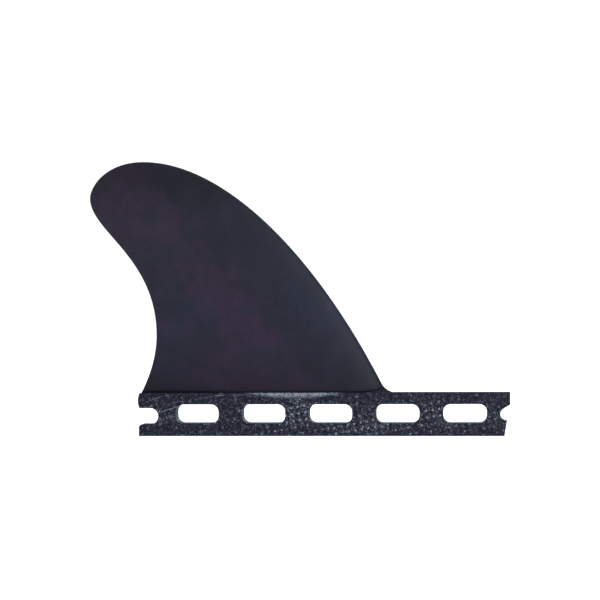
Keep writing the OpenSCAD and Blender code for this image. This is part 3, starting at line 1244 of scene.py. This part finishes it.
@dataclass
class Fin:
    """The whole fin: the blade and the tab in one piece."""

    tab: Tab = field(default_factory=Tab)
    name: str = "moulded_fin"
    smooth_angle: float = 32.0
    shortest_edge: float = 0.0001
    flat_weight: int = 50
    blade: Blade = field(init=False)

    def __post_init__(self) -> None:
        """Sets the blade on the tab."""
        self.blade = Blade(self.tab)

    def build(self) -> Piece:
        """Merges the blade and the tab into one closed mesh, and smooths its skin."""
        fin = self.tab.build()
        combine(fin, self.blade.build(), Join.MERGE)
        fin.name = self.name
        fin.data.name = self.name
        self.clear_slivers(fin)
        self.mark_crease(fin)
        self.smooth(fin)
        return fin

    def clear_slivers(self, fin: Piece) -> None:
        """Dissolves the faces without width that the cuts leave."""
        mesh = open_mesh(fin, "EDGE")
        bmesh.ops.dissolve_degenerate(mesh, dist=self.shortest_edge * MM, edges=mesh.edges)
        bmesh.update_edit_mesh(fin.data)
        close_mesh()

    def mark_crease(self, fin: Piece) -> None:
        """Keeps the line sharp where the blade's belly stands out over the tab's faces."""
        level = self.tab.height * MM
        half = self.tab.half * MM
        select_edges(
            fin,
            lambda edge: all(abs(v.co.z - level) < SNAP and abs(v.co.y) > half for v in edge.verts),
        )
        bpy.ops.mesh.mark_sharp()
        close_mesh()

    def smooth(self, fin: Piece) -> None:
        """Shades the fin smooth, with flat faces kept flat up to their roundings."""
        make_active(fin)
        bpy.ops.object.shade_smooth_by_angle(angle=math.radians(self.smooth_angle), keep_sharp_edges=True)
        step = fin.modifiers.new("flat_faces", "WEIGHTED_NORMAL")
        step.mode = "FACE_AREA"
        step.weight = self.flat_weight
        step.keep_sharp = True
        bpy.ops.object.modifier_apply(modifier=step.name)

    def dress(self, fin: Piece) -> None:
        """Gives the fin its plastic."""
        fin.data.materials.clear()
        root = self.blade.spans["leading"].start + Vector((0, self.tab.height))
        fin.data.materials.append(MouldedPlastic(self.tab, root).material())

    def place(self, fin: Piece) -> None:
        """Hangs the fin on the body's empty in the frame and hides the CAD part that it stands for."""
        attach(fin, BODY)
        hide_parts(CAD_NODE)


# The studio


@dataclass
class Softbox:
    """One soft rectangular light. Places and sizes are in metres."""

    name: str
    place: Vector
    width: float
    height: float
    power: float
    colour: Triple

    def build(self, target: Vector) -> Piece:
        """Hangs the light and turns it to a target."""
        deselect_all()
        bpy.ops.object.light_add(type="AREA", location=self.place)
        light = bpy.context.active_object
        light.name = self.name
        light.data.shape = "RECTANGLE"
        light.data.size = self.width
        light.data.size_y = self.height
        light.data.energy = self.power
        light.data.color = self.colour
        light.rotation_euler = (target - self.place).to_track_quat("-Z", "Y").to_euler()
        light.visible_camera = False
        return light


@dataclass
class Viewpoint:
    """The camera that took the photograph. Places are in metres and angles in degrees."""

    place: Vector = field(default_factory=lambda: Vector((0.0450, -0.6599, 0.03884)))
    turn_left: float = 4.514
    tilt_up: float = 0.239
    roll: float = -0.2735
    focal_length: float = 129.26
    sensor_width: float = 36.0
    nearest: float = 0.01
    farthest: float = 100.0

    def build(self) -> Piece:
        """Sets the camera up and makes it the scene's own."""
        turn, tilt, roll = (math.radians(a) for a in (self.turn_left, 90 + self.tilt_up, self.roll))
        deselect_all()
        bpy.ops.object.camera_add(location=self.place)
        camera = bpy.context.active_object
        camera.name = "photograph_view"
        camera.matrix_world = (
            Matrix.Translation(self.place)
            @ Matrix.Rotation(turn, 4, "Z")
            @ Matrix.Rotation(tilt, 4, "X")
            @ Matrix.Rotation(roll, 4, "Z")
        )
        camera.data.sensor_width = self.sensor_width
        camera.data.lens = self.focal_length
        camera.data.clip_start = self.nearest
        camera.data.clip_end = self.farthest
        bpy.context.scene.camera = camera
        return camera


@dataclass
class Studio:
    """A plain white table under soft light."""

    table_radius: float = 6.0
    table_sides: int = 96
    table_colour: Colour = (0.85, 0.85, 0.85, 1)
    table_roughness: float = 0.9
    table_specular: float = 0.1
    table_glow: float = 0.82
    backdrop_strength: float = 1.15
    front_surround: Colour = (0.440, 0.465, 0.520, 1)
    rear_surround: Colour = (0.265, 0.312, 0.348, 1)
    surround_turn: Step = Step(-0.4, 0.6)
    white_light: Triple = (1.0, 1.0, 1.0)
    cool_light: Triple = (0.93, 0.96, 1.0)
    rear_light: Triple = (0.80, 0.94, 1.0)
    target: Vector = field(default_factory=lambda: Vector((-0.008, 0, 0.035)))

    def softboxes(self) -> list[Softbox]:
        """The lights: a broad one at the front right, a weak one at the left, one overhead, one behind."""
        return [
            Softbox("front_right_light", Vector((0.80, -0.95, 0.30)), 0.7, 0.6, 6.0, self.cool_light),
            Softbox("front_left_light", Vector((-0.90, -0.80, 0.45)), 0.6, 0.6, 0.8, self.white_light),
            Softbox("overhead_light", Vector((0.0, -0.1, 1.1)), 1.0, 0.8, 4.0, self.cool_light),
            Softbox("rear_light", Vector((0.5, 1.0, 0.5)), 0.8, 0.6, 3.0, self.rear_light),
        ]

    def build(self) -> None:
        """Sets out the table, the lights, the surround and the camera."""
        Viewpoint().build()
        self.lay_table()
        for softbox in self.softboxes():
            softbox.build(self.target)
        self.light_surround()
        view = bpy.context.scene.view_settings
        view.view_transform = "Standard"
        view.look = "None"

    def lay_table(self) -> None:
        """Lays the white table top that the fin stands on."""
        deselect_all()
        radius = self.table_radius
        bpy.ops.mesh.primitive_circle_add(vertices=self.table_sides, radius=radius, fill_type="NGON")
        table = added("table")
        material = bpy.data.materials.new("white_table")
        material.use_nodes = True
        looks = {
            "Base Color": self.table_colour,
            "Roughness": self.table_roughness,
            "Specular IOR Level": self.table_specular,
            "Emission Color": WHITE,
            "Emission Strength": self.table_glow,
        }
        NodeSheet(material.node_tree).cover(looks)
        table.data.materials.append(material)
        table.visible_glossy = False

    def light_surround(self) -> None:
        """Lights the room softly, paler in front than behind, and shows the camera a white background."""
        world = bpy.data.worlds.new("surround")
        bpy.context.scene.world = world
        world.use_nodes = True
        sheet = NodeSheet(world.node_tree)
        _, depth, _ = sheet.signal("TexCoord", {}, "Generated").split()
        shade = depth.ramp(*self.surround_turn).blend(self.front_surround, self.rear_surround)
        light = sheet.signal("Background", {"Color": shade})
        backdrop = sheet.signal("Background", {"Color": WHITE, "Strength": self.backdrop_strength})
        seen = sheet.signal("LightPath", {}, "Is Camera Ray")
        both = sheet.signal("MixShader", {0: seen, 1: light, 2: backdrop})
        sheet.add("OutputWorld", {"Surface": both})


def main() -> None:
    """Builds the fin and the studio."""
    logging.basicConfig(level=logging.INFO, format="%(message)s")
    fin = Fin()
    piece = fin.build()
    fin.dress(piece)
    fin.place(piece)
    log.info("%s: %d faces", piece.name, len(piece.data.polygons))
    Studio().build()
    log.info("studio: table, lights and camera")


if __name__ == "__main__":
    main()
